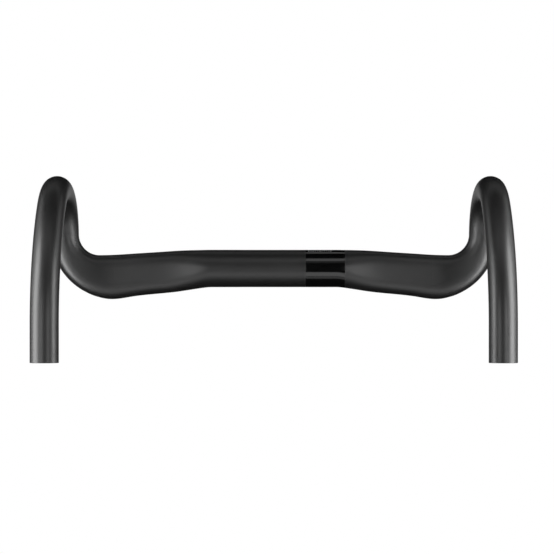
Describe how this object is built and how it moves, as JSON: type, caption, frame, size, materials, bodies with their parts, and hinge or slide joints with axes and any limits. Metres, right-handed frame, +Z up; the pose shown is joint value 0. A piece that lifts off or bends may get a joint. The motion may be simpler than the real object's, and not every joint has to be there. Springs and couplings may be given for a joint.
{
  "type": "drop handlebar",
  "caption": "Moulded road drop handlebar: round stem clamp seat, flattened wing tops, bends, compact curved drops with a slight flare and open bored ends.",
  "frame": {"origin": "centre of the stem clamp seat, on the tops' axis", "axes": "+X along the clamp axis to the rider's right, +Y forward in the direction of the reach, +Z up"},
  "size_m": [0.3978, 0.1548, 0.153],
  "materials": {
    "carbon_matte": "matte carbon fibre",
    "carbon_inner": "bare carbon fibre",
    "adhesive": "cured epoxy",
    "gloss_lacquer": "high gloss black lacquer",
    "print_grey": "satin print"
  },
  "bodies": {
    "root": {"centre_section": "carbon_matte", "right_hook": "carbon_matte", "left_hook": "carbon_matte", "right_joint_sleeve": "carbon_inner", "left_joint_sleeve": "carbon_inner", "right_joint_adhesive": "adhesive", "left_joint_adhesive": "adhesive", "gloss_band": "gloss_lacquer", "clamp_marks": "print_grey"}
  },
  "joints": []
}
